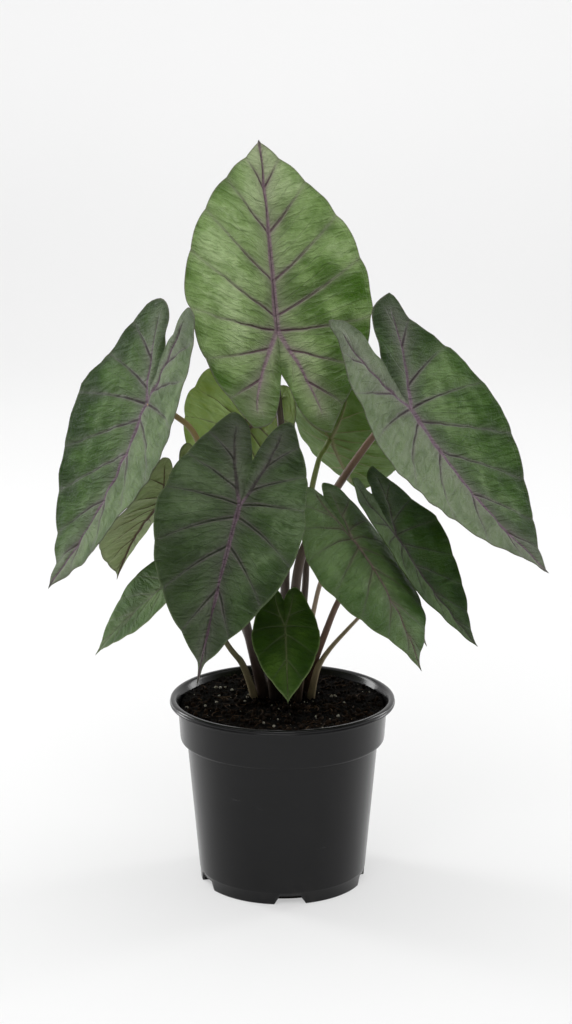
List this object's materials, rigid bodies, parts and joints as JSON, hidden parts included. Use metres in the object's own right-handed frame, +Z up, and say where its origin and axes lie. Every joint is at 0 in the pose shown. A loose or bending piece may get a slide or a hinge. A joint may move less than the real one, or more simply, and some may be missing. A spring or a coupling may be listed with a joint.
{
  "type": "potted foliage plant",
  "caption": "Potted foliage plant: large arrow-shaped leaf blades with raised ribs on slender curving stalks, rising from dark soil in a round tapered nursery pot with a stepped collar and rim.",
  "frame": {"origin": "centre of the pot's flat underside, on the plane the pot stands on", "axes": "+Z up along the pot's axis, -Y towards the viewer (the plant's front), +X to the viewer's right"},
  "size_m": [0.3612, 0.3059, 0.5511],
  "materials": {
    "pot_plastic": "satin",
    "soil": "matte",
    "stalk": "satin",
    "leaf_blade": "satin"
  },
  "bodies": {
    "root": {"pot": "pot_plastic", "soil": "soil", "stalk_top": "stalk", "leaf_top": "leaf_blade", "stalk_left": "stalk", "leaf_left": "leaf_blade", "stalk_right": "stalk", "leaf_right": "leaf_blade", "stalk_front": "stalk", "leaf_front": "leaf_blade", "stalk_young": "stalk", "leaf_young": "leaf_blade", "stalk_front_right": "stalk", "leaf_front_right": "leaf_blade", "stalk_right_low": "stalk", "leaf_right_low": "leaf_blade", "stalk_left_low": "stalk", "leaf_left_low": "leaf_blade", "stalk_back_left_low": "stalk", "leaf_back_left_low": "leaf_blade", "stalk_back_left": "stalk", "leaf_back_left": "leaf_blade", "stalk_back_right": "stalk", "leaf_back_right": "leaf_blade", "stalk_back_right_low": "stalk", "leaf_back_right_low": "leaf_blade"}
  },
  "joints": []
}
